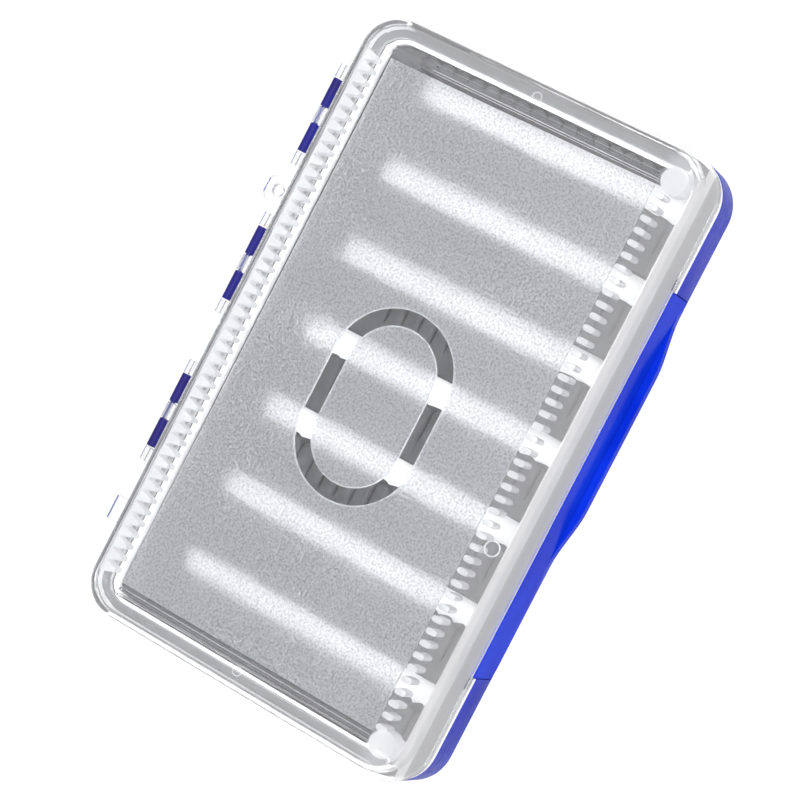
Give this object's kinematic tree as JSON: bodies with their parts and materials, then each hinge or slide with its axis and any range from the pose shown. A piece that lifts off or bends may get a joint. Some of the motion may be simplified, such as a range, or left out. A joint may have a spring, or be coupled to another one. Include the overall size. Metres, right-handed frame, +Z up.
{
  "type": "fly box",
  "caption": "Slim fly box with a blue base, hinged clear lid with frosted window, rows of slit foam in a white liner and a full-length front latch.",
  "frame": {"origin": "middle of the underside of the object's bounding box, on the table", "axes": "+X along the box, -Y towards the latch, +Y towards the hinges, +Z up through the lid"},
  "size_m": [0.186, 0.12, 0.027],
  "materials": {
    "base_blue": "satin moulded",
    "latch_blue": "polished",
    "pin_blue": "polished",
    "liner_white": "satin",
    "seal_grey": "matt silicone",
    "foam_grey": "closed-cell foam",
    "clear": "clear polished plastic",
    "clear_teeth": "clear ribbed plastic",
    "frosted": "sparkling frosted plastic"
  },
  "bodies": {
    "base": {"base_shell": "base_blue", "inner_tray": "liner_white", "rim_seal": "seal_grey", "foam_strip_1": "foam_grey", "foam_strip_2": "foam_grey", "foam_strip_3": "foam_grey", "foam_strip_4": "foam_grey", "foam_strip_5": "foam_grey", "foam_strip_6": "foam_grey", "foam_strip_7": "foam_grey", "foam_strip_8": "foam_grey", "foam_spine": "foam_grey", "hinge_pin_1": "pin_blue", "hinge_pin_2": "pin_blue", "hinge_pin_3": "pin_blue"},
    "lid": {"lid_shell": "clear", "window_panel": "frosted", "rear_tooth_rail": "clear_teeth", "front_tooth_rail": "clear_teeth", "latch_pin_left": "pin_blue", "latch_pin_right": "pin_blue"},
    "latch": {"latch": "latch_blue"}
  },
  "joints": [
    {"name": "lid_hinge", "type": "hinge", "parent": "base", "child": "lid", "pos_m": [0, 0.05672, 0.018], "axis": [-1, 0, 0], "range_deg": [0, 180]},
    {"name": "latch_hinge", "type": "hinge", "parent": "lid", "child": "latch", "pos_m": [0.0002, -0.05697, 0.0191], "axis": [-1, 0, 0], "range_deg": [0, 90]}
  ]
}
